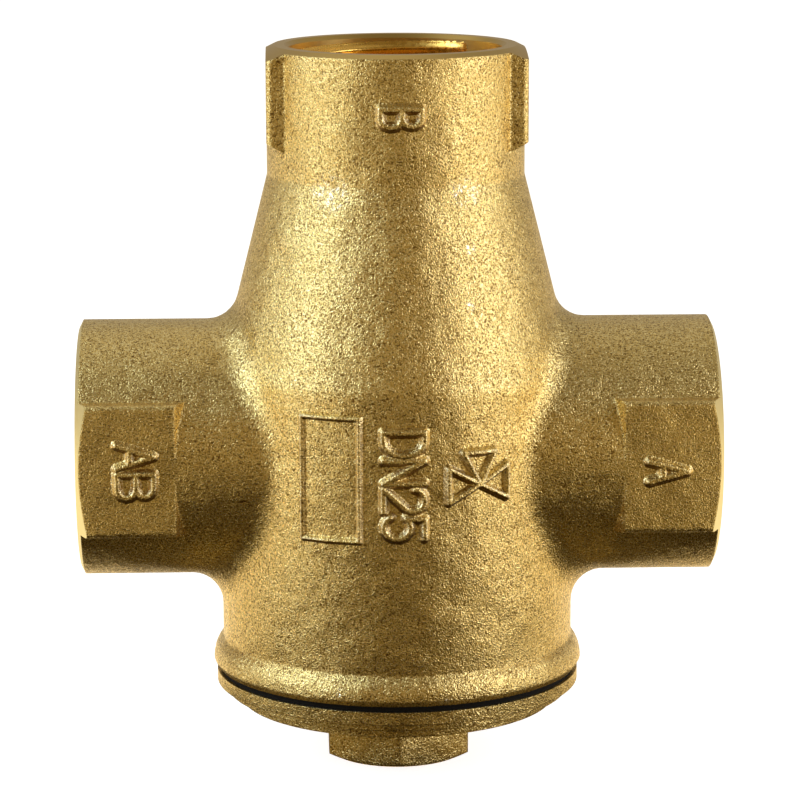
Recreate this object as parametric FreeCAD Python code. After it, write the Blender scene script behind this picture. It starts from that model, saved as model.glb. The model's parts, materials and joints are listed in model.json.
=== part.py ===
# Three-way load valve with a twin-disc wax thermostat, three G 1 female ports.
# Millimetres. Origin at the middle of the hexagon's bottom face, +Z up along port B.
# Port A (cold return) faces +X, port AB (mixed flow) faces -X, port B (hot) faces +Z.
import FreeCAD, Part
import math
import os

V = FreeCAD.Vector
Z_AXIS = V(0, 0, 1)
FAR = 200.0                      # longer than anything here, for half-space cuts

# ---- clearances ---------------------------------------------------------------------------------
RUN = 0.05                       # radial clearance of a running or screwed fit
SEAT_GAP = 0.2                   # a closed disc above its seat at rest
PLAY = 0.3                       # side clearance of a piece that is only located

# ---- ports --------------------------------------------------------------------------------------
PORT_HEIGHT = 49.8               # side ports' axis above the hexagon's bottom
PORT_REACH = 49.5                # side port faces from the middle
TOP_REACH = 63.0                 # top port face above the side ports' axis
PAD_ACROSS = 40.0                # wrench size over two opposite pads, level with the port's skin
PORT_R = PAD_ACROSS / 2
RIM_BEVEL = 1.1                  # width of the rim's chamfer on the port face
RIM_SLOPE = 0.5                  # chamfer depth per millimetre of radius
RIM_FACE_R = PORT_R - RIM_BEVEL
THREAD_R = 33.249 / 2            # G 1 major radius
THREAD_DEPTH = 17.0
MOUTH_WIDEN = 0.58               # lead-in at the mouth
MOUTH_DEPTH = 0.6
BORE_STEP = 1.6                  # from the thread in to the water way behind it
BORE_R = THREAD_R - BORE_STEP
RELIEF_DEPTH = 1.0               # cone from the thread down to the water way

# ---- wrench pads --------------------------------------------------------------------------------
PAD_HALF_WIDTH = 10.3
SIDE_PAD_LENGTH = 15.2
TOP_PAD_LENGTH = 14.2
PAD_EDGE_R = 0.9
PAD_END_DEPTH = 4.0              # how deep a pad's sloped end goes, under the port's skin
PAD_END_SLOPE = 0.55             # slope of that end, length per millimetre of depth

# ---- body outside -------------------------------------------------------------------------------
CHAMBER_R = 24.0                 # room round the cartridge
BODY_WALL = 3.63
BODY_R = CHAMBER_R + BODY_WALL
CONE_TOP = 43.0                  # cone meets the top port, above the side ports' axis
CONE_SLOPE = 0.253               # radius per millimetre of height
BODY_BELOW = 34.8                # body's bottom face below the side ports' axis
LIP_STANDS = 1.51                # how far the bead round the foot stands out of the body
LIP_R = BODY_R + LIP_STANDS
LIP_ROUND = 5.15
LIP_RISE = 0.8                   # bead's widest level above the bottom face
LIP_BEVEL = 0.4
BRANCH_FILLET = 5.2              # hollow between a side port and the body

# ---- cover and gasket ---------------------------------------------------------------------------
THREAD_STEP = 0.75               # cover thread's radius over the chamber's
COVER_THREAD_R = CHAMBER_R + THREAD_STEP
COVER_THREAD_LENGTH = 10.0
COVER_OVER = 1.02                # cover's flange over the body's skin
COVER_R = BODY_R + COVER_OVER
COVER_STEPS = ((0.0, 2.0), (1.45, 1.3), (3.55, 1.6))   # set back and height, from the gasket down
COVER_STEP_BEVEL = 0.15
GASKET_THICK = 1.0
GASKET_INSET = 0.55              # gasket's edge behind the flange's
HEX_ACROSS = 22.0
HEX_BEVEL_R = HEX_ACROSS / 2 - 0.2
HEX_BEVEL_SLOPE = 0.5
COVER_CUP_WALL = 3.85
COVER_CUP_R = COVER_THREAD_R - COVER_CUP_WALL
COVER_FLOOR = 3.0

# ---- cage, seal and flange ----------------------------------------------------------------------
CAGE_R = COVER_CUP_R - PLAY
CAGE_WALL = 1.5
CAGE_WINDOWS = 4
CAGE_WINDOW_ANGLE = 62.0
CAGE_FOOT = 13.5                 # plain band under the windows
CAGE_HEAD = 2.2                  # plain band over the windows
SEAL_OVER = 0.6                  # seal's edge over the cage's
SEAL_R = CAGE_R + SEAL_OVER
SEAL_WIDTH = 2.2
SEAL_INNER_R = SEAL_R - SEAL_WIDTH
SEAL_THICK = 2.2
SEAL_LIP = 0.6                   # rubber outside the flange's edge
FLANGE_R = SEAL_R - SEAL_LIP
FLANGE_THICK = 1.2

# ---- partition in the body ----------------------------------------------------------------------
WEB_BELOW = 4.8                  # underside of the partition below the side ports' axis
WEB_THICK = 3.5
WEB_RECESS_R = SEAL_R + PLAY
WEB_RECESS_DEPTH = 1.0
WEB_LEDGE = 0.8                  # how far the partition reaches in past the seal
WEB_OPENING_R = SEAL_INNER_R - WEB_LEDGE
SHIELD_LEDGE = 1.3               # partition's edge inside the wall that shuts port A off
SHIELD_R = WEB_OPENING_R + SHIELD_LEDGE
SHIELD_WALL = 3.3
SHIELD_CAP = 2.8                 # that wall's top over port A's water way
CONE_WALL = 3.6
OUTLET_WALL = 2.6                # wall between port AB and the lower chamber
B_SEAT_R = 12.5
B_SEAT_THICK = 3.0

# ---- capsule and pin ----------------------------------------------------------------------------
PIN_R = 2.25
PIN_IN_SLEEVE = 5.4              # pin's tip above the capsule's head when cold
PIN_END_GAP = 0.4
GUIDE_WALL = 2.35
GUIDE_R = PIN_R + GUIDE_WALL
GUIDE_LENGTH = 9.5
HEAD_SHOULDER = 1.0
HEAD_R = GUIDE_R + HEAD_SHOULDER
HEAD_HEIGHT = 3.0
CUP_WALL = 0.9
CUP_R = HEAD_R + CUP_WALL
CUP_LENGTH = 16.0
CRIMP_R = GUIDE_R + PLAY
CRIMP_THICK = 0.6
SLEEVE_WALL = 1.45
SLEEVE_R = PIN_R + SLEEVE_WALL
SLEEVE_END = 1.2
SLEEVE_COLLAR = 0.9
SLEEVE_WASHER_WIDTH = 1.75
SLEEVE_WASHER_R = PIN_R + SLEEVE_WASHER_WIDTH
SLEEVE_WASHER_THICK = 1.0

# ---- straps -------------------------------------------------------------------------------------
STRAP_THICK = 1.2
LOWER_STRAP_WIDTH = 8.0
LOWER_STRAP_INSET = 2.0          # its feet inside the seal
LOWER_STRAP_R = SEAL_INNER_R - LOWER_STRAP_INSET
LOWER_STRAP_DROP = 15.0          # pin's seat below the flange
PIN_SOCKET_WALL = 1.9
PIN_SOCKET = 2.5                 # how deep the pin sits in it
UPPER_STRAP_WIDTH = 9.0
UPPER_STRAP_INSET = 0.7          # its legs inside the partition's opening
UPPER_STRAP_R = WEB_OPENING_R - UPPER_STRAP_INSET
UPPER_STRAP_BELOW = 1.3          # spring's seat below the top of the capsule's cup

# ---- port A disc --------------------------------------------------------------------------------
DISC_PLAY = 0.9                  # disc's edge inside the upper strap's legs
DISC_R = UPPER_STRAP_R - STRAP_THICK - DISC_PLAY
DISC_THICK = 0.9
DISC_HUB_WIDTH = 1.8
DISC_HUB_R = GUIDE_R + DISC_HUB_WIDTH
DISC_HUB_RISE = 1.6
DISC_SEAL_THICK = 1.1
DISC_SEAL_WIDTH = 2.6
DISC_OVERLAP = 0.7               # disc's edge over the neck of the flange
NECK_R = DISC_R - DISC_OVERLAP
NECK_WALL = 1.2
NECK_RISE = 3.0
NECK_BEND = 1.5                  # bend from the flange into its neck

# ---- springs ------------------------------------------------------------------------------------
MAIN_WIRE = 1.6
MAIN_COIL_OVER = 3.1             # middle of the wire outside the capsule's cup
MAIN_COIL_R = CUP_R + MAIN_COIL_OVER
MAIN_TURNS = 4.5
SHOULDER_OVER = 2.9              # upper strap's shoulder outside the middle of the wire
UPPER_STRAP_SHOULDER = MAIN_COIL_R + SHOULDER_OVER
SMALL_WIRE = 0.9
SMALL_TURNS = 3.0
SMALL_LENGTH = 5.9

# ---- stem and port B disc -----------------------------------------------------------------------
STEM_R = 2.0
STEM_FOOT_WIDTH = 1.2
STEM_FOOT = 1.0
BUSH_WALL = 1.4
BUSH_R = STEM_R + BUSH_WALL
BUSH_FLANGE_WIDTH = 1.0
BUSH_FLANGE = 0.8
B_DISC_OVERLAP = 1.5             # disc's edge over the seat's hole
B_DISC_R = B_SEAT_R + B_DISC_OVERLAP
B_DISC_RIM = 2.5                 # flat edge of the disc
B_DISC_THICK = 1.2
B_DISC_DISH = 0.7
B_DISC_HUB_WIDTH = 1.6
SMALL_COIL_R = BUSH_R + 1.8      # clear of the bush, on the disc's hub
WASHER_OVER = 1.0
WASHER_R = SMALL_COIL_R + WASHER_OVER
WASHER_THICK = 0.6
RING_WIDTH = 1.8
RING_THICK = 0.6
RING_OPENING = 2.2
GROOVE_DEPTH = 0.5
STEM_TIP = 1.6                   # stem above the groove
STROKE = 6.0                     # capsule's travel from cold to shut port B
SHUT_GAP = 0.3                   # left between the port B disc and its seat at full stroke

# ---- levels, from the hexagon's bottom ----------------------------------------------------------
BODY_BOTTOM = PORT_HEIGHT - BODY_BELOW
COVER_TOP = BODY_BOTTOM - GASKET_THICK
HEX_TOP = COVER_TOP - sum(height for inset, height in COVER_STEPS)
CUP_FLOOR = HEX_TOP + COVER_FLOOR
BODY_TOP = PORT_HEIGHT + TOP_REACH
CONE_LEVEL = PORT_HEIGHT + CONE_TOP
CONE_FOOT = CONE_LEVEL - (BODY_R - PORT_R) / CONE_SLOPE
WEB_BOTTOM = PORT_HEIGHT - WEB_BELOW
WEB_TOP = WEB_BOTTOM + WEB_THICK
RECESS_TOP = WEB_BOTTOM + WEB_RECESS_DEPTH
SHIELD_TOP = PORT_HEIGHT + BORE_R + SHIELD_CAP
SEAL_BOTTOM = RECESS_TOP - SEAL_THICK
FLANGE_BOTTOM = RECESS_TOP - (SEAL_THICK + FLANGE_THICK) / 2
FLANGE_TOP = FLANGE_BOTTOM + FLANGE_THICK
NECK_TOP = FLANGE_TOP + NECK_RISE
DISC_SEAL_BOTTOM = NECK_TOP + SEAT_GAP
DISC_BOTTOM = DISC_SEAL_BOTTOM + DISC_SEAL_THICK
DISC_TOP = DISC_BOTTOM + DISC_THICK
CAPSULE_BOTTOM = DISC_TOP + DISC_HUB_RISE
HEAD_TOP = CAPSULE_BOTTOM + CRIMP_THICK + HEAD_HEIGHT
CUP_TOP = CAPSULE_BOTTOM + CUP_LENGTH
PIN_SEAT = FLANGE_BOTTOM - LOWER_STRAP_DROP
PIN_TOP = HEAD_TOP + PIN_IN_SLEEVE
UPPER_STRAP_SEAT = CUP_TOP - UPPER_STRAP_BELOW
STEM_WASHER_TOP = CUP_TOP + STEM_FOOT + WASHER_THICK
B_DISC_LOW = STEM_WASHER_TOP + SMALL_LENGTH
B_DISC_BOTTOM = B_DISC_LOW + B_DISC_DISH
B_DISC_TOP = B_DISC_BOTTOM + B_DISC_THICK
B_SEAT_LEVEL = B_DISC_TOP + STROKE + SHUT_GAP
RING_LEVEL = B_DISC_TOP + BUSH_FLANGE


# ---- shapes -------------------------------------------------------------------------------------
def cylinder(radius, bottom, top):
    """Upright cylinder on the valve's middle line between two levels."""
    return Part.makeCylinder(radius, top - bottom, V(0, 0, bottom), Z_AXIS)


def ring(outer, inner, bottom, top):
    """Upright tube between two levels."""
    return cylinder(outer, bottom, top).cut(cylinder(inner, bottom, top))


def box(x0, x1, y0, y1, z0, z1):
    """Box between two corners."""
    return Part.makeBox(x1 - x0, y1 - y0, z1 - z0, V(x0, y0, z0))


def turned(outline):
    """Solid of revolution about Z from a closed list of (radius, level) corners."""
    wire = Part.makePolygon([V(r, 0, z) for r, z in outline + outline[:1]])
    return Part.Face(wire).revolve(V(0, 0, 0), Z_AXIS, 360)


def prism(corners, bottom, top):
    """Upright prism over a closed list of (x, y) corners."""
    wire = Part.makePolygon([V(x, y, bottom) for x, y in corners + corners[:1]])
    return Part.Face(wire).extrude(V(0, 0, top - bottom))


def to_port(shape, side):
    """Turn a shape made about Z at the origin so that its +Z points along side * X at port height."""
    placed = shape.copy()
    placed.rotate(V(0, 0, 0), V(0, 1, 0), 90 * side)
    placed.translate(V(0, 0, PORT_HEIGHT))
    return placed


def spring(coil_radius, wire, turns, bottom, top):
    """Coil spring between two levels."""
    pitch = (top - bottom - wire) / turns
    path = Part.makeLongHelix(pitch, pitch * turns, coil_radius)
    section = Part.Wire(Part.makeCircle(wire / 2, V(coil_radius, 0, 0), V(0, 1, 0)))
    coil = Part.Wire(path).makePipeShell([section], True, True)
    coil.translate(V(0, 0, bottom + wire / 2))
    return coil


def save(name, shape):
    """Write one sub-part as one clean solid."""
    solid = shape.removeSplitter()
    if not solid.isValid() or len(solid.Solids) != 1:
        raise ValueError("%s: valid %s, %d solids" % (name, solid.isValid(), len(solid.Solids)))
    solid.Solids[0].exportStep("parts/%s.step" % name)


# ---- valve body ---------------------------------------------------------------------------------
def core_outside():
    """Cylinder, cone and top port as one turned shape with a rounded bead at its foot."""
    lip_level = BODY_BOTTOM + LIP_RISE
    lip_centre = LIP_R - LIP_ROUND
    lip_top = lip_level + math.sqrt(LIP_ROUND ** 2 - (BODY_R - lip_centre) ** 2)
    half_angle = math.asin((lip_top - lip_level) / LIP_ROUND) / 2
    lip_middle = V(lip_centre + LIP_ROUND * math.cos(half_angle), 0,
                   lip_level + LIP_ROUND * math.sin(half_angle))
    corners = [(BODY_R, lip_top), (BODY_R, CONE_FOOT), (PORT_R, CONE_LEVEL), (PORT_R, BODY_TOP),
               (0, BODY_TOP), (0, BODY_BOTTOM), (LIP_R - LIP_BEVEL, BODY_BOTTOM), (LIP_R, lip_level)]
    points = [V(r, 0, z) for r, z in corners]
    edges = [Part.makeLine(a, b) for a, b in zip(points, points[1:])]
    edges.append(Part.Arc(points[-1], lip_middle, points[0]).toShape())
    return Part.Face(Part.Wire(edges)).revolve(V(0, 0, 0), Z_AXIS, 360)


def near_body(edge):
    """True for the seam where a side port runs into the body."""
    box_of = edge.BoundBox
    reach = max(abs(box_of.XMin), abs(box_of.XMax))
    in_height = abs(box_of.Center.z - PORT_HEIGHT) < PORT_R
    return in_height and reach < BODY_R + PAD_EDGE_R and box_of.DiagonalLength > PORT_R / 2 \
        and box_of.YLength > 1 and box_of.ZMax < PORT_HEIGHT + PORT_R + 1 \
        and box_of.ZMin > PORT_HEIGHT - PORT_R - 1


def pads(length, reach, turn):
    """Two opposite wrench pads at the end of a port that points up and ends at the level reach."""
    half, foot = PAD_ACROSS / 2, reach - length
    low, deep = foot - PAD_END_DEPTH * PAD_END_SLOPE, half - PAD_END_DEPTH
    corners = [(half, reach), (half, foot), (deep, low), (-deep, low), (-half, foot), (-half, reach)]
    wire = Part.makePolygon([V(-PAD_HALF_WIDTH, y, z) for y, z in corners + corners[:1]])
    block = Part.Face(wire).extrude(V(2 * PAD_HALF_WIDTH, 0, 0))
    ridges = [e for e in block.Edges if abs(e.BoundBox.ZLength - length) < PAD_EDGE_R / 10]
    block = block.makeFillet(PAD_EDGE_R, ridges)
    block.rotate(V(0, 0, 0), Z_AXIS, turn)
    return block


def rim_cutter(reach):
    """What the rim's chamfer takes away round a port that points up and ends at the level reach."""
    corner = math.hypot(PORT_R, PAD_HALF_WIDTH) + 1
    drop = (corner - RIM_FACE_R) * RIM_SLOPE
    return turned([(RIM_FACE_R, reach), (corner, reach - drop), (corner, reach + 1),
                   (RIM_FACE_R, reach + 1)])


def port_hole(reach, inner):
    """Thread bore, lead-in and water way of a port that points up, down to the level inner."""
    thread_end = reach - THREAD_DEPTH
    return turned([(0, inner), (BORE_R, inner), (BORE_R, thread_end - RELIEF_DEPTH),
                   (THREAD_R, thread_end), (THREAD_R, reach - MOUTH_DEPTH),
                   (THREAD_R + MOUTH_WIDEN, reach), (0, reach)])


def body_outside():
    """The casting before it is hollowed."""
    core = core_outside()
    branch = to_port(cylinder(PORT_R, -PORT_REACH, PORT_REACH), 1)
    shape = core.fuse(branch).removeSplitter()
    shape = shape.makeFillet(BRANCH_FILLET, [e for e in shape.Edges if near_body(e)])
    for side in (1, -1):
        shape = shape.fuse(to_port(pads(SIDE_PAD_LENGTH, PORT_REACH, 0), side))
        shape = shape.cut(to_port(rim_cutter(PORT_REACH), side))
    shape = shape.fuse(pads(TOP_PAD_LENGTH, BODY_TOP, 90))
    return shape.cut(rim_cutter(BODY_TOP))


def lower_room():
    """Room under the partition: cover thread, chamber and the recess of the cartridge's seal."""
    thread_top = BODY_BOTTOM + COVER_THREAD_LENGTH
    return turned([(0, BODY_BOTTOM), (COVER_THREAD_R, BODY_BOTTOM), (COVER_THREAD_R, thread_top),
                   (CHAMBER_R, thread_top + (COVER_THREAD_R - CHAMBER_R)), (CHAMBER_R, WEB_BOTTOM),
                   (WEB_RECESS_R, WEB_BOTTOM), (WEB_RECESS_R, RECESS_TOP),
                   (WEB_OPENING_R, RECESS_TOP), (WEB_OPENING_R, WEB_TOP), (0, WEB_TOP)])


def mixing_room():
    """Room over the partition up to the port B seat, narrower on the side of port A."""
    room_foot = CONE_FOOT - CONE_WALL * CONE_SLOPE
    seat_r = CHAMBER_R - (B_SEAT_LEVEL - room_foot) * CONE_SLOPE
    wide = turned([(0, WEB_TOP), (CHAMBER_R, WEB_TOP), (CHAMBER_R, room_foot),
                   (seat_r, B_SEAT_LEVEL), (0, B_SEAT_LEVEL)])
    shield = box(0, FAR, -FAR, FAR, WEB_TOP, SHIELD_TOP).cut(cylinder(SHIELD_R, WEB_TOP, SHIELD_TOP))
    return wide.cut(shield)


def inlet_a():
    """Port A's water way, which reaches the lower room under the shield."""
    hole = to_port(port_hole(PORT_REACH, SHIELD_R / 2), 1)
    kept_wall = cylinder(SHIELD_R + SHIELD_WALL, WEB_BOTTOM, BODY_TOP)
    return hole.cut(kept_wall)


def outlet_ab():
    """Port AB's water way, which reaches the mixing room over the partition."""
    hole = to_port(port_hole(PORT_REACH, SHIELD_R / 2), -1)
    kept_wall = cylinder(CHAMBER_R + OUTLET_WALL, BODY_BOTTOM, WEB_TOP)
    return hole.cut(kept_wall)


def inlet_b():
    """Port B's water way down to its seat."""
    seat_top = B_SEAT_LEVEL + B_SEAT_THICK
    return port_hole(BODY_TOP, seat_top).fuse(cylinder(B_SEAT_R, B_SEAT_LEVEL, seat_top))


def valve_body():
    shape = body_outside()
    for room in (lower_room(), mixing_room(), inlet_a(), outlet_ab(), inlet_b()):
        shape = shape.cut(room)
    return shape


# ---- cover and gasket ---------------------------------------------------------------------------
def bottom_cover():
    """Stepped flange with a hexagon under it and a threaded cup over it."""
    outline = [(0, HEX_TOP)]
    level = HEX_TOP
    for inset, height in reversed(COVER_STEPS):
        radius = COVER_R - inset
        outline += [(radius - COVER_STEP_BEVEL, level), (radius, level + COVER_STEP_BEVEL),
                    (radius, level + height)]
        level += height
    thread_r = COVER_THREAD_R - RUN
    thread_top = COVER_TOP + COVER_THREAD_LENGTH
    outline += [(thread_r, COVER_TOP), (thread_r, thread_top - PLAY), (thread_r - PLAY, thread_top),
                (COVER_CUP_R, thread_top), (COVER_CUP_R, CUP_FLOOR), (0, CUP_FLOOR)]
    corner = HEX_ACROSS / math.sqrt(3)
    angles = [math.radians(60 * i + 30) for i in range(6)]
    hexagon = prism([(corner * math.cos(a), corner * math.sin(a)) for a in angles], 0, HEX_TOP)
    bevel = (corner + 1 - HEX_BEVEL_R) * HEX_BEVEL_SLOPE
    limit = turned([(0, 0), (HEX_BEVEL_R, 0), (corner + 1, bevel), (corner + 1, HEX_TOP), (0, HEX_TOP)])
    return turned(outline).fuse(hexagon.common(limit))


def cover_gasket():
    return ring(COVER_R - GASKET_INSET, COVER_THREAD_R, COVER_TOP, BODY_BOTTOM)


# ---- cartridge, fixed pieces --------------------------------------------------------------------
def spacer_cage():
    """Tube in the cover's cup with windows that let port A's water in."""
    top = SEAL_BOTTOM
    shape = ring(CAGE_R, CAGE_R - CAGE_WALL, CUP_FLOOR, top)
    half = math.radians(CAGE_WINDOW_ANGLE) / 2
    for i in range(CAGE_WINDOWS):
        middle = 2 * math.pi * (i + 0.5) / CAGE_WINDOWS
        sides = [(FAR * math.cos(middle + s * half), FAR * math.sin(middle + s * half)) for s in (-1, 1)]
        shape = shape.cut(prism([(0, 0)] + sides, CUP_FLOOR + CAGE_FOOT, top - CAGE_HEAD))
    return shape


def flange_seal():
    """Rubber ring with a slot that grips the flange's edge."""
    shape = ring(SEAL_R, SEAL_INNER_R, SEAL_BOTTOM, RECESS_TOP)
    return shape.cut(cylinder(FLANGE_R, FLANGE_BOTTOM, FLANGE_TOP))


def seat_flange():
    """Pressed flange whose raised neck is port A's seat."""
    inner = NECK_R - NECK_WALL
    plate = ring(FLANGE_R, inner, FLANGE_BOTTOM, FLANGE_TOP)
    neck = ring(NECK_R, inner, FLANGE_TOP, NECK_TOP)
    bend = turned([(NECK_R, FLANGE_TOP), (NECK_R + NECK_BEND, FLANGE_TOP),
                   (NECK_R, FLANGE_TOP + NECK_BEND)])
    return plate.fuse(neck).fuse(bend)


def strap(outline, width, hub, turn):
    """Pressed strap: a turned hat shape cut to two arms and a round hub, across the valve."""
    blank = box(-FAR, FAR, -width / 2, width / 2, 0, FAR).fuse(cylinder(hub, 0, FAR))
    shape = turned(outline).common(blank)
    shape.rotate(V(0, 0, 0), Z_AXIS, turn)
    return shape


def lower_bridge():
    """Strap under the flange whose hub carries the pin."""
    t = STRAP_THICK
    bottom = PIN_SEAT - t
    foot = bottom + PIN_SOCKET + t
    socket = PIN_R + RUN
    hub = socket + PIN_SOCKET_WALL
    arm = LOWER_STRAP_R
    outline = [(0, bottom), (hub, bottom), (hub, foot), (arm, foot + (arm - hub) / 2),
               (arm, FLANGE_BOTTOM), (arm - t, FLANGE_BOTTOM), (arm - t, foot + t + (arm - hub - t) / 2),
               (socket + t, foot + t), (socket, foot + t), (socket, PIN_SEAT), (0, PIN_SEAT)]
    return strap(outline, LOWER_STRAP_WIDTH, hub + t, 0)


def upper_bridge():
    """Strap over the flange that the main spring pushes against and the capsule slides through."""
    t = STRAP_THICK
    seat = UPPER_STRAP_SEAT
    arm, shoulder, hole = UPPER_STRAP_R, UPPER_STRAP_SHOULDER, CUP_R + PLAY
    slope = (arm - shoulder) / 2
    outline = [(hole, seat), (shoulder, seat), (arm - t, seat - slope), (arm - t, FLANGE_TOP),
               (arm, FLANGE_TOP), (arm, seat - slope + t / 2), (shoulder + t / 2, seat + t),
               (hole, seat + t)]
    return strap(outline, UPPER_STRAP_WIDTH, shoulder, 90)


def piston_pin():
    return cylinder(PIN_R, PIN_SEAT, PIN_TOP)


# ---- cartridge, pieces that travel with the capsule ---------------------------------------------
def capsule_head():
    """Brass guide round the pin with a head that closes the cup."""
    level = CAPSULE_BOTTOM + CRIMP_THICK
    bottom = level - GUIDE_LENGTH
    return turned([(PIN_R + RUN, bottom), (GUIDE_R, bottom), (GUIDE_R, level), (HEAD_R, level),
                   (HEAD_R, HEAD_TOP), (SLEEVE_WASHER_R, HEAD_TOP),
                   (SLEEVE_WASHER_R, HEAD_TOP - SLEEVE_WASHER_THICK),
                   (PIN_R + RUN, HEAD_TOP - SLEEVE_WASHER_THICK)])


def sleeve_washer():
    return ring(SLEEVE_WASHER_R, PIN_R + RUN, HEAD_TOP - SLEEVE_WASHER_THICK, HEAD_TOP)


def wax_cup():
    """Brass cup with its mouth crimped in under the capsule's head."""
    inside = CUP_TOP - CUP_WALL
    crimp_top = CAPSULE_BOTTOM + CRIMP_THICK
    return turned([(CRIMP_R, CAPSULE_BOTTOM), (CUP_R, CAPSULE_BOTTOM), (CUP_R, CUP_TOP), (0, CUP_TOP),
                   (0, inside), (HEAD_R, inside), (HEAD_R, crimp_top), (CRIMP_R, crimp_top)])


def rubber_sleeve():
    """Closed rubber sleeve round the pin, with a collar clamped on the capsule's head."""
    collar_top = HEAD_TOP + SLEEVE_COLLAR
    pocket_top = PIN_TOP + PIN_END_GAP
    return turned([(PIN_R + RUN, HEAD_TOP), (HEAD_R, HEAD_TOP), (HEAD_R, collar_top),
                   (SLEEVE_R, collar_top), (SLEEVE_R, pocket_top + SLEEVE_END),
                   (0, pocket_top + SLEEVE_END), (0, pocket_top), (PIN_R + RUN, pocket_top)])


def wax_charge():
    """Wax that fills the cup round the sleeve."""
    outer = cylinder(HEAD_R, HEAD_TOP + SLEEVE_COLLAR, CUP_TOP - CUP_WALL)
    return outer.cut(cylinder(SLEEVE_R, HEAD_TOP, PIN_TOP + PIN_END_GAP + SLEEVE_END))


def main_disc():
    """Pressed disc with a raised hub pushed on the capsule's guide up to the cup."""
    hub_top = DISC_TOP + DISC_HUB_RISE
    return turned([(GUIDE_R, hub_top - DISC_THICK), (DISC_HUB_R - DISC_THICK, hub_top - DISC_THICK),
                   (DISC_HUB_R, DISC_BOTTOM), (DISC_R, DISC_BOTTOM), (DISC_R, DISC_TOP),
                   (DISC_HUB_R + DISC_THICK, DISC_TOP), (DISC_HUB_R, hub_top), (GUIDE_R, hub_top)])


def disc_seal():
    """Rubber ring under the disc, over port A's seat."""
    return ring(DISC_R, DISC_R - DISC_SEAL_WIDTH, DISC_SEAL_BOTTOM, DISC_BOTTOM)


def bypass_stem():
    """Stem on the capsule, with a foot, and a groove for its ring."""
    groove = RING_LEVEL
    foot_r = STEM_R + STEM_FOOT_WIDTH
    core = STEM_R - GROOVE_DEPTH
    tip = groove + RING_THICK + STEM_TIP
    return turned([(0, CUP_TOP), (foot_r, CUP_TOP), (foot_r, CUP_TOP + STEM_FOOT),
                   (STEM_R, CUP_TOP + STEM_FOOT), (STEM_R, groove), (core, groove),
                   (core, groove + RING_THICK), (STEM_R, groove + RING_THICK), (STEM_R, tip - GROOVE_DEPTH),
                   (core, tip), (0, tip)])


def stem_washer():
    return ring(WASHER_R, STEM_R + RUN, CUP_TOP + STEM_FOOT, STEM_WASHER_TOP)


def retaining_ring():
    """Open ring in the stem's groove."""
    inner, top = STEM_R - GROOVE_DEPTH, RING_LEVEL + RING_THICK
    shape = ring(inner + RING_WIDTH, inner, RING_LEVEL, top)
    return shape.cut(box(0, FAR, -RING_OPENING / 2, RING_OPENING / 2, RING_LEVEL, top))


# ---- port B disc --------------------------------------------------------------------------------
def bypass_disc():
    """Pressed disc, flat at its edge and dished down to its hub."""
    t = B_DISC_THICK
    hub, edge = BUSH_R + B_DISC_HUB_WIDTH, B_DISC_R - B_DISC_RIM
    low = B_DISC_LOW
    return turned([(BUSH_R, low), (hub, low), (edge, B_DISC_BOTTOM), (B_DISC_R, B_DISC_BOTTOM),
                   (B_DISC_R, B_DISC_TOP), (edge, B_DISC_TOP), (hub, low + t), (BUSH_R, low + t)])


def disc_bush():
    """Plastic bush that guides the disc on the stem, with a flange over the disc."""
    hole, flange = STEM_R + RUN, BUSH_R + BUSH_FLANGE_WIDTH
    seat = B_DISC_LOW + B_DISC_THICK
    return turned([(hole, B_DISC_LOW), (BUSH_R, B_DISC_LOW), (BUSH_R, seat), (flange, seat),
                   (flange, RING_LEVEL), (hole, RING_LEVEL)])


# ---- springs ------------------------------------------------------------------------------------
def main_spring():
    """Return spring between the port A disc and the upper bridge."""
    return spring(MAIN_COIL_R, MAIN_WIRE, MAIN_TURNS, DISC_TOP, UPPER_STRAP_SEAT)


def bypass_spring():
    """Over-travel spring between the stem's washer and the port B disc."""
    return spring(SMALL_COIL_R, SMALL_WIRE, SMALL_TURNS, STEM_WASHER_TOP, B_DISC_LOW)


NODES = (valve_body, bottom_cover, cover_gasket, spacer_cage, flange_seal, seat_flange, lower_bridge,
         upper_bridge, piston_pin, capsule_head, sleeve_washer, wax_cup, rubber_sleeve, wax_charge,
         main_disc, disc_seal, bypass_stem, stem_washer, retaining_ring, bypass_disc, disc_bush,
         main_spring, bypass_spring)

os.makedirs("parts", exist_ok=True)
for node in NODES:
    save(node.__name__, node())
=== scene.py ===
"""Looks of the three-way mixing valve: cast brass, threads, raised marks, springs, light, camera.
Every length is in metres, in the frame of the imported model: +Z up along port B, +X along port A."""
import json
import math

import bpy
import numpy as np
from mathutils import Matrix, Vector

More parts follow.
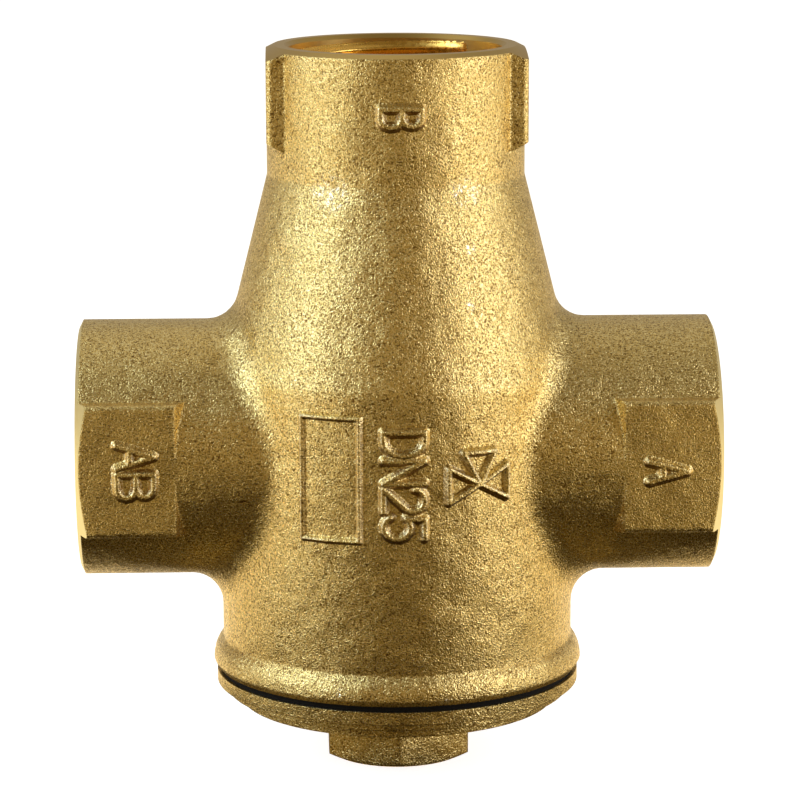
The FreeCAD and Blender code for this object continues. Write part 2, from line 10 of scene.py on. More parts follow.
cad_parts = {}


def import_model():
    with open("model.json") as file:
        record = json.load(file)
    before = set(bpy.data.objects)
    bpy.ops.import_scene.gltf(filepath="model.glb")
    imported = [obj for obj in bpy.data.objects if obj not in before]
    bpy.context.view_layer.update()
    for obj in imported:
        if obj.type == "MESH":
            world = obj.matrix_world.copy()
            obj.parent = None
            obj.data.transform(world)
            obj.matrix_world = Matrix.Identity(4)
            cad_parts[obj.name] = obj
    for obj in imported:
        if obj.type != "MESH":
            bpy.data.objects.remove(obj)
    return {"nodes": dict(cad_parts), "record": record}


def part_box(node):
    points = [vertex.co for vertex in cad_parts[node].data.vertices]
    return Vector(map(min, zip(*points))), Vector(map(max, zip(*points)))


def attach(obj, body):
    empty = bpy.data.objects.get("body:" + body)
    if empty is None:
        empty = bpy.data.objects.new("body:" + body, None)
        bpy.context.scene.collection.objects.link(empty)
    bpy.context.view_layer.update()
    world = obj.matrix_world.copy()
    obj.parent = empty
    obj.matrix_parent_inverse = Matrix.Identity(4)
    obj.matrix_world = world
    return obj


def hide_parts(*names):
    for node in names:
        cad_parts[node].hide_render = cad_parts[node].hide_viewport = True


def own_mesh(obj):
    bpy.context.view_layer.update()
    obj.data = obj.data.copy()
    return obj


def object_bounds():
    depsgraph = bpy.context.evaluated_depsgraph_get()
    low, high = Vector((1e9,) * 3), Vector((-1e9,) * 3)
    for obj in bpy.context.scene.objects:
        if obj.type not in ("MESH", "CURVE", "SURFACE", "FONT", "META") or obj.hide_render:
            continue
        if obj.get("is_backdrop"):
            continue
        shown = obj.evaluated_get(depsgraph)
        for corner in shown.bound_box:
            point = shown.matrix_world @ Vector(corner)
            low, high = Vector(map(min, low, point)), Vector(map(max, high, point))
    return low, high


MM = 0.001
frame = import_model()
CAD_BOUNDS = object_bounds()
NODES = frame["nodes"]
RECORD = frame["record"]
MOUNTS = {mount["name"]: mount for mount in RECORD["mounts"]}
AXIS_Z = MOUNTS["port_a"]["pos_m"][2]          # height of the side ports' axis


def extent(node):
    """Lowest and highest corners of a node, as vectors."""
    return tuple(Vector(corner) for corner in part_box(node))


BODY_LOW, BODY_HIGH = extent("valve_body")
SIDE_REACH = BODY_HIGH.x                       # side port faces from the middle
TOP_FACE = BODY_HIGH.z
BODY_SKIN = BODY_LOW.z + 10 * MM               # a level where the body is a plain cylinder


def skin(origin, direction):
    """Where a ray first meets the casting."""
    hit, place, _, _ = NODES["valve_body"].ray_cast(Vector(origin), Vector(direction))
    if not hit:
        raise ValueError("no casting along this ray")
    return place


FAR = 1.0
BODY_R = -skin((0, -FAR, BODY_SKIN), (0, 1, 0)).y
PORT_R = -skin((0, -FAR, TOP_FACE - 5 * MM), (0, 1, 0)).y
PAD_Y = skin((SIDE_REACH - 8 * MM, -FAR, AXIS_Z), (0, 1, 0)).y


# ---- camera -------------------------------------------------------------------------------------
SENSOR_WIDTH, FOCAL_LENGTH, CLIP_END = 36.0, 153.9, 20.0     # millimetres, millimetres, metres
CAMERA_PLACE = Vector((-16.47 * MM, -527.7 * MM, AXIS_Z + 111.5 * MM))
CAMERA_TARGET = Vector((0.56 * MM, 0, AXIS_Z + 6.96 * MM))
CAMERA_ROLL = -0.163                           # degrees


def camera():
    """Long lens a little above the side ports, a little left of the middle."""
    data = bpy.data.cameras.new("camera")
    data.sensor_width = SENSOR_WIDTH
    data.lens = FOCAL_LENGTH
    data.clip_end = CLIP_END
    obj = bpy.data.objects.new("camera", data)
    bpy.context.scene.collection.objects.link(obj)
    obj.location = CAMERA_PLACE
    turn = (CAMERA_TARGET - CAMERA_PLACE).to_track_quat("-Z", "Y").to_matrix()
    roll = Matrix.Rotation(math.radians(CAMERA_ROLL), 3, "Z")
    obj.rotation_euler = (turn @ roll).to_euler()
    bpy.context.scene.camera = obj


camera()
bpy.context.scene.view_settings.view_transform = "Standard"


# ---- node helpers -------------------------------------------------------------------------------
class Tree:
    """A node tree with short calls for adding and linking nodes."""

    def __init__(self, owner, clear=False):
        owner.use_nodes = True
        self.owner = owner
        self.nodes = owner.node_tree.nodes
        self.links = owner.node_tree.links
        if clear:
            self.nodes.clear()

    def add(self, kind, settings=None, **inputs):
        """New node with its settings, and its inputs given as values or as other nodes' outputs."""
        node = self.nodes.new("ShaderNode" + kind)
        for key, value in (settings or {}).items():
            setattr(node, key, value)
        for key, value in inputs.items():
            self.feed(node, key, value)
        return node

    def feed(self, node, key, value):
        """Set or link one input, named by its label with _ for a space, or by _number."""
        name = key[1:] if key[0] == "_" else key.replace("_", " ")
        socket = node.inputs[int(name)] if name.isdigit() else node.inputs[name]
        if isinstance(value, bpy.types.NodeSocket):
            self.links.new(value, socket)
        else:
            socket.default_value = value

    def coords(self):
        return self.add("TexCoord").outputs["Object"]

    def split(self, vector):
        return self.add("SeparateXYZ", {}, Vector=vector).outputs

    def noise(self, where, scale, detail=2.0, rough=0.5):
        node = self.add("TexNoise", {}, Vector=where, Scale=scale, Detail=detail, Roughness=rough)
        return node.outputs["Fac"]

    def math(self, operation, first, second=0.0, third=0.0):
        node = self.add("Math", {"operation": operation}, _0=first, _1=second, _2=third)
        return node.outputs[0]

    def band(self, value, low, high, out_low=0.0, out_high=1.0):
        """Smooth step of a value between two levels."""
        node = self.add("MapRange", {"interpolation_type": "SMOOTHSTEP"}, Value=value, From_Min=low,
                        From_Max=high, To_Min=out_low, To_Max=out_high)
        return node.outputs[0]

    def mix(self, factor, first, second):
        node = self.add("Mix", {"data_type": "RGBA"})
        for index, value in ((0, factor), (6, first), (7, second)):
            self.feed(node, "_%d" % index, value)
        return node.outputs[2]

    def bump(self, height, distance, strength=1.0, normal=None):
        node = self.add("Bump", {}, Height=height, Distance=distance, Strength=strength)
        if normal is not None:
            self.feed(node, "Normal", normal)
        return node.outputs["Normal"]


class Surface(Tree):
    """A material built on one principled shader."""

    def __init__(self, name, metallic=0.0, roughness=None):
        super().__init__(bpy.data.materials.new(name))
        self.shader = self.nodes["Principled BSDF"]
        self.shader.inputs["Metallic"].default_value = metallic
        if roughness is not None:
            self.shader.inputs["Roughness"].default_value = roughness

    def finish(self, **inputs):
        for key, value in inputs.items():
            self.feed(self.shader, key, value)
        return self.owner


# ---- metals -------------------------------------------------------------------------------------
BRASS_CREST = (0.98, 0.80, 0.37, 1.0)
BRASS_BODY = (0.86, 0.63, 0.21, 1.0)
# painted shade: dark tone for the grain's hollows, the marks' down-facing flanks and the walls under
# the cover's steps
BRASS_PAINTED_SHADE = (0.20, 0.105, 0.024, 1.0)
# real wear on the knocks, and a painted highlight on the marks' side flanks
BRASS_WORN_AND_SHEEN = (1.0, 0.92, 0.66, 1.0)
BRASS_CUT = (0.58, 0.40, 0.12, 1.0)
BRASS_RIM_PAINTED_LIGHT = (0.88, 0.76, 0.38, 1.0)            # cut faces of the side ports, a paler copy of BRASS_CUT: painted light
RIM_FACE_R = 18.9 * MM                         # flat part of a port's face
RIM_SLOPE = 0.5                                # its outer chamfer's fall
RIM_DEPTH = 3 * MM                             # how far in from a side face BRASS_RIM_PAINTED_LIGHT reaches
MOUTH_R = 17.4 * MM
BORE_DEPTH = 19 * MM
CUT_ROUGH = 0.34
WORN_ROUGH = 0.2
COVER_STEPS = (12.0 * MM, 10.7 * MM, 9.1 * MM)     # levels of the cover's steps
STEP_SHADE = 0.8
HEX_TOP = 8.4 * MM
FINE_GRAIN, DIMPLES = 4600.0, 2300.0           # texture scales, cells to the metre
CLOUDS, WAVES, FLECKS = 90.0, 160.0, 1500.0
GRAIN_BUMP, WAVE_BUMP = 0.00018, 0.0006
EDGE_RADIUS, EDGE_TRIM = 0.5 * MM, 0.45 * MM   # rounding of edges, and its cut on the raised marks
HEX_EDGE, COVER_EDGE = 0.7 * MM, 0.1 * MM      # rounding on the hexagon and on the cover above it
FLANK_SHINE, FLANK_SHADE = 0.35, 0.85          # painted highlight on the marks' side flanks and painted shade under them
# Where the front was knocked: across, above the side ports' axis, size, in millimetres.
KNOCKS = ((-10.4, 42.2, 3.6), (10.0, 42.2, 3.2), (10.6, 34.0, 1.3), (10.4, 25.6, 1.1),
          (-9.8, -33.2, 1.3), (6.3, -33.8, 1.3))


def machined_mask(t, where):
    """1 on what a cutter has gone over: port faces, their chamfers, mouths and bores."""
    x, y, z = t.split(where)
    up = t.math("SUBTRACT", z, AXIS_Z)
    side_r = t.math("SQRT", t.math("ADD", t.math("MULTIPLY", y, y), t.math("MULTIPLY", up, up)))
    top_r = t.math("SQRT", t.math("ADD", t.math("MULTIPLY", x, x), t.math("MULTIPLY", y, y)))
    masks = []
    for along, radius, reach in ((t.math("ABSOLUTE", x), side_r, SIDE_REACH), (z, top_r, TOP_FACE)):
        past_edge = t.math("MAXIMUM", t.math("SUBTRACT", radius, RIM_FACE_R), 0.0)
        front = t.math("MULTIPLY_ADD", past_edge, RIM_SLOPE, along)
        face = t.band(front, reach - 0.05 * MM, reach - 0.01 * MM)
        in_bore = t.math("MULTIPLY", t.math("LESS_THAN", radius, MOUTH_R),
                         t.math("GREATER_THAN", along, reach - BORE_DEPTH))
        masks += [face, in_bore]
    mask = masks[0]
    for other in masks[1:]:
        mask = t.math("MAXIMUM", mask, other)
    return mask


def knocked(t, where):
    """1 in the bright flecks of a few knocks on the front."""
    _, y, _ = t.split(where)
    flat = t.add("VectorMath", {"operation": "MULTIPLY"}, _0=where, _1=(1.0, 0.0, 1.0)).outputs[0]
    mask = 0.0
    for across, up, size in KNOCKS:
        place = (across * MM, 0.0, AXIS_Z + up * MM)
        gap = t.add("VectorMath", {"operation": "DISTANCE"}, _0=flat, _1=place).outputs["Value"]
        mask = t.math("MAXIMUM", mask, t.band(gap, size * 0.2 * MM, size * MM, 1.0, 0.0))
    flecks = t.band(t.noise(where, FLECKS, 3.0, 0.7), 0.50, 0.60)
    mask = t.math("MULTIPLY", mask, flecks)
    return t.math("MULTIPLY", mask, t.math("LESS_THAN", y, 0.0))


def under_steps(t, where):
    """Up to STEP_SHADE in the shade under each step of the cover."""
    level = t.split(where)[2]
    mask = 0.0
    for step in COVER_STEPS:
        below = t.band(level, step - 0.6 * MM, step - 0.2 * MM, 0.0, STEP_SHADE)
        mask = t.math("MAXIMUM", mask, t.math("MULTIPLY", below, t.math("LESS_THAN", level, step)))
    return mask


def cast_brass(name, grain, machined):
    """Blasted metal: grain at a fifth of a millimetre with painted shade in its pits and a painted
    highlight on its crests, uneven tone, rounded edges.

    machined adds the cut faces, the knocks, and the painted highlight and painted shade on the
    marks' flanks; without it, painted shade goes under the cover's steps."""
    t = Surface(name, 1.0)
    where = t.coords()
    fine = t.noise(where, FINE_GRAIN, 1.0, 0.6)
    dimple = t.noise(where, DIMPLES, 1.0, 0.5)
    cloud = t.noise(where, CLOUDS, 3.0, 0.6)
    wave = t.noise(where, WAVES, 2.0, 0.5)
    height = t.math("MULTIPLY_ADD", fine, 0.6, t.math("MULTIPLY", dimple, 0.4))
    # tone follows the grain's height: painted shade in the hollows, and a painted highlight that
    # makes the crests paler
    tone = t.mix(t.band(height, 0.36, 0.48), BRASS_PAINTED_SHADE, BRASS_BODY)
    tone = t.mix(t.band(height, 0.50, 0.60), tone, BRASS_CREST)
    tone = t.mix(t.band(cloud, 0.4, 0.8, 0.0, 0.3), tone, BRASS_BODY)
    rough = t.band(dimple, 0.35, 0.65, 0.34, 0.26)
    edge = t.band(t.split(where)[2], HEX_TOP, HEX_TOP + 0.5 * MM, HEX_EDGE, COVER_EDGE)
    if machined:
        crisp = t.add("Attribute", {"attribute_name": "crisp"}).outputs["Fac"]
        edge = t.math("MULTIPLY_ADD", crisp, -EDGE_TRIM, EDGE_RADIUS)
    normal = t.add("Bevel", {"samples": 4}, Radius=edge).outputs["Normal"]
    normal = t.bump(wave, WAVE_BUMP, 1.0, normal)
    normal = t.bump(height, GRAIN_BUMP * grain, 1.0, normal)
    if machined:
        across, _, up = t.split(t.add("NewGeometry").outputs["Normal"])
        # painted highlight: the marks' flanks that face sideways are made paler
        flank = t.band(t.math("ABSOLUTE", across), 0.3, 0.6, 0.0, FLANK_SHINE)
        tone = t.mix(t.math("MULTIPLY", crisp, flank), tone, BRASS_WORN_AND_SHEEN)
        # painted shade on the marks' flanks that face down
        under = t.band(up, -0.6, -0.25, FLANK_SHADE, 0.0)
        tone = t.mix(t.math("MULTIPLY", crisp, under), tone, BRASS_PAINTED_SHADE)
        worn = knocked(t, where)
        tone = t.mix(worn, tone, BRASS_WORN_AND_SHEEN)
        rough = t.math("MULTIPLY_ADD", worn, t.math("SUBTRACT", WORN_ROUGH, rough), rough)
        mask = machined_mask(t, where)
        aside = t.math("ABSOLUTE", t.split(where)[0])
        at_side = t.math("GREATER_THAN", aside, SIDE_REACH - RIM_DEPTH)
        # painted light: the side ports' cut faces take a paler copy of the cut brass
        tone = t.mix(mask, tone, t.mix(at_side, BRASS_CUT, BRASS_RIM_PAINTED_LIGHT))
        rough = t.math("MULTIPLY_ADD", mask, t.math("SUBTRACT", CUT_ROUGH, rough), rough)
        plain = t.add("NewGeometry").outputs["Normal"]
        mixer = t.add("Mix", {"data_type": "VECTOR"})
        for index, value in ((0, mask), (4, normal), (5, plain)):
            t.feed(mixer, "_%d" % index, value)
        normal = mixer.outputs[1]
    else:
        # painted shade under each step of the cover
        tone = t.mix(under_steps(t, where), tone, BRASS_PAINTED_SHADE)
    return t.finish(Base_Color=tone, Roughness=rough, Normal=normal)


METAL_TEXTURE, RUBBER_TEXTURE, PLASTIC_TEXTURE = 1500.0, 1800.0, 1200.0
FAINT_BUMP, PLASTIC_BUMP = 0.00003, 0.00001


def plain_metal(name, color, rough):
    """Metal with a faint texture."""
    t = Surface(name, 1.0)
    texture = t.noise(t.coords(), METAL_TEXTURE, 2.0, 0.6)
    return t.finish(Base_Color=color, Roughness=t.band(texture, 0.3, 0.7, rough * 0.8, rough * 1.2),
                    Normal=t.bump(texture, FAINT_BUMP))


def rubber(name):
    """Matt black rubber."""
    t = Surface(name, 0.0, 0.8)
    texture = t.noise(t.coords(), RUBBER_TEXTURE, 2.0, 0.6)
    return t.finish(Base_Color=(0.008, 0.007, 0.006, 1.0), Specular_IOR_Level=0.2,
                    Normal=t.bump(texture, FAINT_BUMP))


def plastic(name, color, rough):
    """Smooth moulded plastic or wax."""
    t = Surface(name, 0.0, rough)
    texture = t.noise(t.coords(), PLASTIC_TEXTURE, 2.0, 0.5)
    return t.finish(Base_Color=color, Normal=t.bump(texture, PLASTIC_BUMP))


FINISHES = {
    "cast_brass": cast_brass("cast_brass", 1.0, True),
    "forged_brass": cast_brass("forged_brass", 0.9, False),
    "turned_brass": plain_metal("turned_brass", (0.95, 0.59, 0.13, 1.0), 0.28),
    "black_rubber": rubber("black_rubber"),
    "stainless": plain_metal("stainless", (0.6, 0.58, 0.55, 1.0), 0.3),
    "polished_steel": plain_metal("polished_steel", (0.66, 0.66, 0.67, 1.0), 0.12),
    "spring_steel": plain_metal("spring_steel", (0.5, 0.49, 0.47, 1.0), 0.3),
    "white_plastic": plastic("white_plastic", (0.8, 0.78, 0.72, 1.0), 0.45),
    "wax": plastic("wax", (0.5, 0.28, 0.14, 1.0), 0.55),
}


def dress_nodes():
    """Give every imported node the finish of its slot."""
    for part in RECORD["subparts"]:
        obj = NODES[part["node"]]
        obj.data.materials.clear()
        obj.data.materials.append(FINISHES[part["material_slot"]])


dress_nodes()


# ---- pieces -------------------------------------------------------------------------------------
def piece(name, points, faces, body, slot):
    """Mesh piece from points and faces that rides on a body and takes a slot's finish."""
    mesh = bpy.data.meshes.new(name)
    mesh.from_pydata([tuple(p) for p in points], [], faces)
    mesh.validate()
    mesh.polygons.foreach_set("use_smooth", [True] * len(mesh.polygons))
    mesh.materials.append(FINISHES[slot])
    obj = bpy.data.objects.new(name, mesh)
    bpy.context.scene.collection.objects.link(obj)
    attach(obj, body)
    return obj


def tube(rings):
    """Points and faces of a closed solid through rings of equal count, with flat ends."""
    count = len(rings[0])
    points = [p for ring in rings for p in ring]
    faces = [tuple(reversed(range(count)))]
    for i in range(len(rings) - 1):
        low, high = i * count, (i + 1) * count
        for j in range(count):
            k = (j + 1) % count
            faces.append((low + j, low + k, high + k, high + j))
    last = (len(rings) - 1) * count
    faces.append(tuple(range(last, last + count)))
    return points, faces


# ---- port threads -------------------------------------------------------------------------------
THREAD_PITCH = 25.4 / 11 * MM                  # pipe thread, 11 turns to the inch
THREAD_HEIGHT = 0.640327 * THREAD_PITCH
THREAD_STEPS = 96                              # rings in one turn
THREAD_RUN_IN, THREAD_RUN_OUT = 0.25, 0.5      # turns over which the ridge grows and dies
THREAD_ROOT = 0.06 * MM                        # how deep the ridge is set into the bore
MOUTH_FREE = 0.8 * MM                          # thread starts behind the lead-in
# One ridge: along the axis in pitches, and height over the bore in thread heights.
RIDGE = ((-0.5, 0.0), (-0.40, 0.06), (-0.30, 0.25), (-0.18, 0.60), (-0.09, 0.93), (0.0, 1.0),
         (0.09, 0.93), (0.18, 0.60), (0.30, 0.25), (0.40, 0.06), (0.5, 0.0))


def port_thread(name, mount, face):
    """Rounded helical ridge inside one port, cut away at the mouth and run out at the inner end."""
    axis = Vector(mount["axis"])
    middle = Vector(mount["pos_m"])
    major = mount["dims"]["r_mm"] * MM
    length = mount["dims"]["length_mm"] * MM
    side = axis.orthogonal().normalized()
    other = axis.cross(side)
    origin = middle + axis * (face - middle.dot(axis) - MOUTH_FREE)
    turns = (length - MOUTH_FREE) / THREAD_PITCH
    steps = int(turns * THREAD_STEPS)
    rings = []
    for i in range(steps + 1):
        angle = 2 * math.pi * i / THREAD_STEPS
        depth = THREAD_PITCH * (i / THREAD_STEPS + 0.5)
        fade = min(1.0, i / (THREAD_STEPS * THREAD_RUN_IN),
                   (steps - i) / (THREAD_STEPS * THREAD_RUN_OUT))
        spoke = side * math.cos(angle) + other * math.sin(angle)
        ring = []
        for across, high in RIDGE:
            radius = major - THREAD_HEIGHT * high * fade
            ring.append(origin - axis * (depth + across * THREAD_PITCH) + spoke * radius)
        for across in (0.5, -0.5):
            ring.append(origin - axis * (depth + across * THREAD_PITCH)
                        + spoke * (major + THREAD_ROOT))
        rings.append(ring)
    points, faces = tube(rings)
    piece(name, points, faces, "housing", "turned_brass")


port_thread("thread_port_a", MOUNTS["port_a"], SIDE_REACH)
port_thread("thread_port_ab", MOUNTS["port_ab"], SIDE_REACH)
port_thread("thread_port_b", MOUNTS["port_b"], TOP_FACE)


# ---- springs ------------------------------------------------------------------------------------
COIL_STEPS, COIL_SIDES = 48, 12                # rings in one turn, corners of one ring


def coil(name, node, wire, active, dead, body):
    """Wound spring with closed ends, in the place of a plain one.

    wire is its thickness, active its free turns and dead the closed turns at each end."""
    low, high = extent(node)
    radius = (high.x - low.x - wire) / 2
    dead_rise = dead * wire
    rise = high.z - low.z - wire - 2 * dead_rise
    turns = active + 2 * dead
    steps = int(turns * COIL_STEPS)
    rings = []
    for i in range(steps + 1):
        turn = turns * i / steps
        if turn < dead:
            level = turn * wire
        elif turn < dead + active:
            level = dead_rise + rise * (turn - dead) / active
        else:
            level = dead_rise + rise + (turn - dead - active) * wire
        angle = 2 * math.pi * turn
        spoke = Vector((math.cos(angle), math.sin(angle), 0))
        centre = spoke * radius + Vector((0, 0, low.z + wire / 2 + level))
        ring = []
        for j in range(COIL_SIDES):
            a = 2 * math.pi * j / COIL_SIDES
            ring.append(centre + (spoke * math.cos(a) + Vector((0, 0, 1)) * math.sin(a)) * wire / 2)
        rings.append(ring)
    points, faces = tube(rings)
    obj = piece(name, points, faces, body, "spring_steel")
    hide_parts(node)
    return obj


def springs():
    """Both springs, each wound in the place of its plain one."""
    main = coil("return_spring", "main_spring", wire=1.6 * MM, active=3.3, dead=0.85,
                body="housing")
    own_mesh(main)
    small = coil("overtravel_spring", "bypass_spring", wire=0.9 * MM, active=2.2, dead=0.8,
                 body="capsule")
    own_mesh(small)


springs()


# ---- raised marks -------------------------------------------------------------------------------
def arc(cx, cy, rx, ry, start, end, count=10):
    """Points along part of an ellipse, angles in degrees."""
    angles = [math.radians(start + (end - start) * i / count) for i in range(count + 1)]
    return [(cx + rx * math.cos(a), cy + ry * math.sin(a)) for a in angles]


# Strokes of each character in a box 1 wide and 1 high.
GLYPHS = {
    "A": [[(0, 0), (0.5, 1), (1, 0)], [(0.2, 0.36), (0.8, 0.36)]],
    "B": [[(0, 0), (0, 1)], [(0, 1)] + arc(0.5, 0.76, 0.44, 0.24, 90, -90) + [(0, 0.52)],
          [(0, 0.52)] + arc(0.55, 0.26, 0.45, 0.26, 90, -90) + [(0, 0)]],
    "D": [[(0, 0), (0, 1)] + arc(0.4, 0.5, 0.6, 0.5, 90, -90) + [(0, 0)]],
    "N": [[(0, 0), (0, 1), (1, 0), (1, 1)]],
    "2": [arc(0.5, 0.72, 0.5, 0.28, 170, -30) + [(0, 0), (1, 0)]],
    "5": [[(0.95, 1), (0.12, 1), (0.05, 0.56)] + arc(0.45, 0.33, 0.52, 0.33, 120, -150)],
}
LETTER_GAP = 0.24                              # between two characters, in characters
MARK_GRID = 0.14 * MM
MARK_SINK = 0.25 * MM                          # how deep a mark's underside is in the wall
MARK_SET = 0.03 * MM                           # how far its outer edge is set below the wall


def mark(name, strokes, place, half_width=0.55 * MM, height=0.95 * MM, soft=0.42 * MM):
    """Rounded raised strokes on the casting: a closed shell that follows the wall under it.

    place turns flat coordinates and a height over the wall into a point. The attribute crisp tells
    the casting's material to keep the edges, to paint a highlight on the flanks that face sideways
    and to paint shade on the flanks that face down."""
    ends = [(np.array(a), np.array(b)) for s in strokes for a, b in zip(s, s[1:])]
    corners = np.array([p for s in strokes for p in s])
    reach = half_width + soft
    low, high = corners.min(axis=0) - reach, corners.max(axis=0) + reach
    nu, nv = (int(n) + 1 for n in (high - low) / MARK_GRID)
    u, v = np.meshgrid(low[0] + MARK_GRID * np.arange(nu), low[1] + MARK_GRID * np.arange(nv),
                       indexing="ij")
    grid = np.stack([u, v], axis=-1)
    distance = np.full(u.shape, FAR)
    for a, b in ends:
        along = b - a
        share = np.clip(((grid - a) @ along) / max(along @ along, 1e-18), 0, 1)
        gap = np.linalg.norm(grid - a - share[..., None] * along, axis=-1)
        distance = np.minimum(distance, gap)
    share = np.clip((reach - distance) / (reach - half_width * 0.3), 0, 1)
    rise = height * share * share * (3 - 2 * share) - MARK_SET
    keep = distance < reach
    kept = {}
    points, faces = [], []

    def corner(i, j, sunk):
        key = (i, j, sunk)
        if key not in kept:
            kept[key] = len(points)
            points.append(place(u[i, j], v[i, j], -MARK_SINK if sunk else float(rise[i, j])))
        return kept[key]

    cell = keep[:-1, :-1] | keep[1:, :-1] | keep[:-1, 1:] | keep[1:, 1:]
    filled = set(zip(*(index.tolist() for index in np.nonzero(cell))))
    for i, j in sorted(filled):
        square = ((i, j), (i + 1, j), (i + 1, j + 1), (i, j + 1))
        faces.append(tuple(corner(a, b, False) for a, b in square))
        faces.append(tuple(corner(a, b, True) for a, b in reversed(square)))
        sides = ((i, j - 1), (i + 1, j), (i, j + 1), (i - 1, j))
        for side, neighbour in enumerate(sides):
            if neighbour not in filled:
                a, b = square[side], square[(side + 1) % 4]
                faces.append((corner(*a, True), corner(*b, True), corner(*b, False),
                              corner(*a, False)))
    obj = piece(name, points, faces, "housing", "cast_brass")
    crisp = obj.data.attributes.new("crisp", "FLOAT", "POINT")
    crisp.data.foreach_set("value", [1.0] * len(obj.data.vertices))


def on_cylinder(radius, level):
    """Place on the front of an upright cylinder; u runs round to +X, v up."""
    def place(u, v, height):
        angle = u / radius
        r = radius + height
        return Vector((r * math.sin(angle), -r * math.cos(angle), level + v))
    return place


def on_pad(middle_x):
    """Place on the front wrench pad of a side port."""
    def place(u, v, height):
        return Vector((middle_x + u, PAD_Y - height, AXIS_Z + v))
    return place


def word(text, high, top, low, middle=0.0):
    """Strokes of a word that reads downwards, the characters' tops to +X, between two levels."""
    wide = (top - low) / (len(text) + LETTER_GAP * (len(text) - 1))
    strokes = []
    for i, letter in enumerate(text):
        start = top - wide * i * (1 + LETTER_GAP)
        for stroke in GLYPHS[letter]:
            strokes.append([(middle + high * (y - 0.5), start - wide * x) for x, y in stroke])
    return strokes


def marks():
    """The front's marks; each word gets its characters' height and its upper and lower ends."""
    wall = on_cylinder(BODY_R, AXIS_Z)
    frame_low, frame_high = (-15.75 * MM, -9.45 * MM), (-6.5 * MM, 9.4 * MM)
    outline = [frame_low, (frame_high[0], frame_low[1]), frame_high, (frame_low[0], frame_high[1]),
               frame_low]
    mark("frame_mark", [outline], wall, half_width=0.32 * MM, height=0.65 * MM, soft=0.32 * MM)
    mark("size_mark", word("DN25", 6.1 * MM, 7.4 * MM, -9.0 * MM, middle=0.24 * MM), wall)
    middle, reach, half = (11.9 * MM, -1.0 * MM), 4.9 * MM, 2.6 * MM
    corners = {"left": ((-reach, half), (-reach, -half)), "right": ((reach, half), (reach, -half)),
               "top": ((-half, reach), (half, reach))}
    flow = [[middle] + [(middle[0] + x, middle[1] + y) for x, y in pair] + [middle]
            for pair in corners.values()]
    mark("flow_mark", flow, wall, half_width=0.46 * MM, soft=0.38 * MM)
    mark("port_b_mark", word("B", 6.1 * MM, 55.0 * MM, 52.3 * MM, middle=0.2 * MM),
         on_cylinder(PORT_R, AXIS_Z))
    mark("port_ab_mark", word("AB", 5.6 * MM, 4.3 * MM, -3.9 * MM), on_pad(-40.3 * MM))
    mark("port_a_mark", word("A", 5.7 * MM, 1.0 * MM, -2.1 * MM), on_pad(40.8 * MM),
         half_width=0.65 * MM, height=1.05 * MM)


marks()


# ---- stage --------------------------------------------------------------------------------------
FLOOR_REACH = 3.0
FLOOR_GREY = (0.8, 0.8, 0.8, 1.0)
FLOOR_SEEN = (0.85, 0.85, 0.85, 1.0)           # added for the camera, so that the floor is white
FLOOR_NEAR, FLOOR_FAR = (0.75, 0.56, 0.24, 1.0), (0.42, 0.33, 0.18, 1.0)    # in reflections
FLAG_DARK, FLAG_NEAR = (0.04, 0.027, 0.011, 1.0), (0.24, 0.17, 0.07, 1.0)
FLAG_FAR = (0.19, 0.135, 0.06, 1.0)
FLAG_STEP = 6                                  # degrees between the flag's corners
FLAG_FRONT, FLAG_SIDE, FLAG_BACK = 1.6, 0.11, 0.054    # how far it reaches
FLAG_FRONT_HALF, FLAG_SIDE_HALF = 42, 100      # degrees off the front where front and side end
ROOM_LOW, ROOM_HIGH = (0.37, 0.26, 0.115, 1.0), (0.16, 0.12, 0.06, 1.0)
ROOM_BACK = (0.42, 0.38, 0.32, 1.0)
LIGHT_DISTANCE = 0.9


def card(name, corners):
    """Flat stage piece from its corners."""
    mesh = bpy.data.meshes.new(name)
    mesh.from_pydata(corners, [], [tuple(range(len(corners)))])
    obj = bpy.data.objects.new(name, mesh)
    bpy.context.scene.collection.objects.link(obj)
    obj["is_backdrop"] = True
    return obj


def floor():
    """Floor that is white to the camera and pale and warm in reflections, and keeps the shadow."""
    signs = ((-1, -1), (1, -1), (1, 1), (-1, 1))
    obj = card("floor", [(FLOOR_REACH * a, FLOOR_REACH * b, 0) for a, b in signs])
    t = Tree(bpy.data.materials.new("floor"), True)
    path = t.add("LightPath").outputs
    through = t.math("MAXIMUM", path["Is Camera Ray"], path["Is Transmission Ray"])
    diffuse = t.add("BsdfDiffuse", {}, Color=FLOOR_GREY).outputs[0]
    gap = t.add("VectorMath", {"operation": "LENGTH"}, _0=t.coords()).outputs["Value"]
    warm = t.mix(t.band(gap, 0.25, 0.5), FLOOR_NEAR, FLOOR_FAR)
    warm = t.mix(path["Is Glossy Ray"], (0.0, 0.0, 0.0, 1.0), warm)
    seen = t.mix(through, warm, FLOOR_SEEN)
    glow = t.add("Emission", {}, Color=seen).outputs[0]
    both = t.add("AddShader", {}, _0=diffuse, _1=glow).outputs[0]
    t.add("OutputMaterial", {}, Surface=both)
    obj.data.materials.append(t.owner)


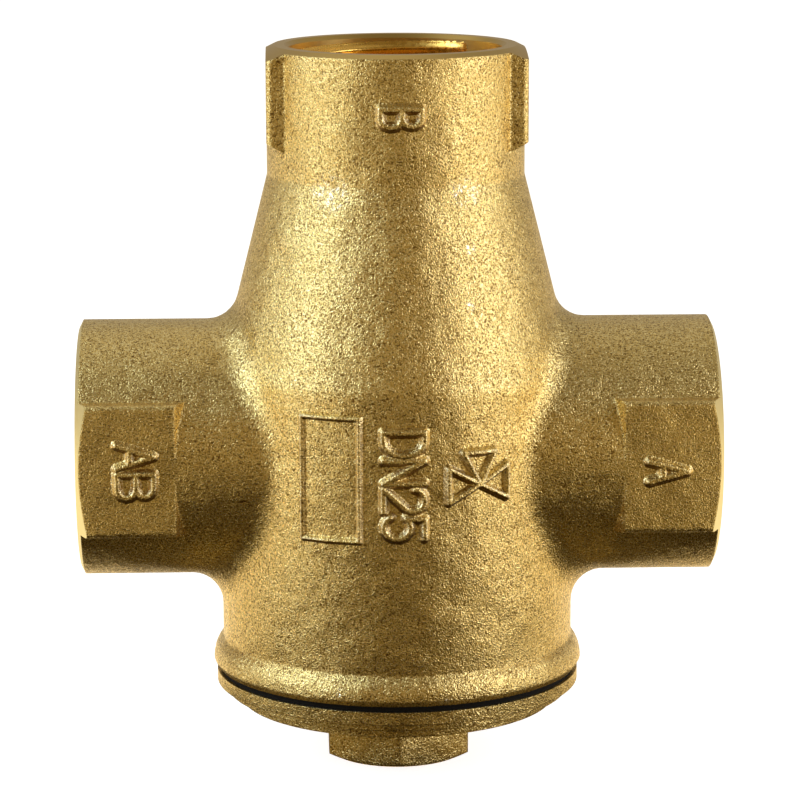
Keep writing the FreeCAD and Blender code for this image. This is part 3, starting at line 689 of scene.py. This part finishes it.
def flag():
    """Dark card under and in front of the valve, seen only in its reflections."""
    corners = []
    for degrees in range(0, 360, FLAG_STEP):
        a = math.radians(degrees)
        off_front = min(degrees, 360 - degrees)
        radius = (FLAG_FRONT if off_front < FLAG_FRONT_HALF else
                  FLAG_SIDE if off_front < FLAG_SIDE_HALF else FLAG_BACK)
        corners.append((radius * math.sin(a), -radius * math.cos(a), 0.05 * MM))
    obj = card("flag", corners)
    t = Tree(bpy.data.materials.new("flag"), True)
    gap = t.add("VectorMath", {"operation": "LENGTH"}, _0=t.coords()).outputs["Value"]
    aside = t.math("ABSOLUTE", t.split(t.coords())[0])
    near = t.mix(t.band(aside, 0.006, 0.014), FLAG_DARK, FLAG_NEAR)
    tone = t.mix(t.band(gap, 0.025, 0.045), near, FLAG_DARK)
    tone = t.mix(t.band(gap, 0.10, 0.28), tone, FLAG_FAR)
    glow = t.add("Emission", {}, Color=tone).outputs[0]
    t.add("OutputMaterial", {}, Surface=glow)
    obj.data.materials.append(t.owner)
    obj.visible_camera = False
    obj.visible_diffuse = False
    obj.visible_shadow = False


def area_light(name, radiance, size, location, color):
    """Soft box whose face shines at the given radiance, turned to the valve's middle."""
    data = bpy.data.lights.new(name, "AREA")
    data.shape = "RECTANGLE"
    data.size, data.size_y = size
    data.energy = radiance * math.pi * size[0] * size[1]
    data.color = color
    obj = bpy.data.objects.new(name, data)
    obj.location = location
    to_valve = Vector((0, 0, AXIS_Z)) - Vector(location)
    obj.rotation_euler = to_valve.to_track_quat("-Z", "Y").to_euler()
    obj.visible_camera = False
    bpy.context.scene.collection.objects.link(obj)


def around(azimuth, elevation):
    """Place of a light from its angles in degrees, seen from the valve, negative to the left."""
    a, e = math.radians(azimuth), math.radians(elevation)
    return (LIGHT_DISTANCE * math.cos(e) * math.sin(a), -LIGHT_DISTANCE * math.cos(e) * math.cos(a),
            AXIS_Z + LIGHT_DISTANCE * math.sin(e))


def world():
    """White to the camera; round the valve a dim warm room in front and a paler one behind."""
    bpy.context.scene.world = bpy.data.worlds.new("world")
    t = Tree(bpy.context.scene.world, True)
    _, y, z = t.split(t.add("TexCoord").outputs["Generated"])
    front = t.mix(t.band(z, 0.25, 0.65), ROOM_LOW, ROOM_HIGH)
    room = t.mix(t.band(y, -0.3, 0.35), front, ROOM_BACK)
    around_it = t.add("Background", {}, Color=room).outputs[0]
    white = t.add("Background", {}, Color=(1, 1, 1, 1)).outputs[0]
    seen = t.add("LightPath").outputs["Is Camera Ray"]
    mixer = t.add("MixShader", {}, _0=seen, _1=around_it, _2=white).outputs[0]
    t.add("OutputWorld", {}, Surface=mixer)


def lights():
    """A soft box on each side and a weak one above and behind."""
    area_light("left_box", 4.3, (0.36, 0.7), around(-71, 32), (0.86, 1.07, 1.38))
    area_light("right_box", 3.6, (0.36, 0.75), around(70, 23), (0.95, 1.0, 1.15))
    area_light("top_box", 0.3, (0.8, 0.5), around(-150, 62), (1, 1, 1))


floor()
flag()
world()
lights()

# ---- last ---------------------------------------------------------------------------------------
sizes = {"cad": CAD_BOUNDS, "visual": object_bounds()}
{key: [list(corner) for corner in value] for key, value in sizes.items()}
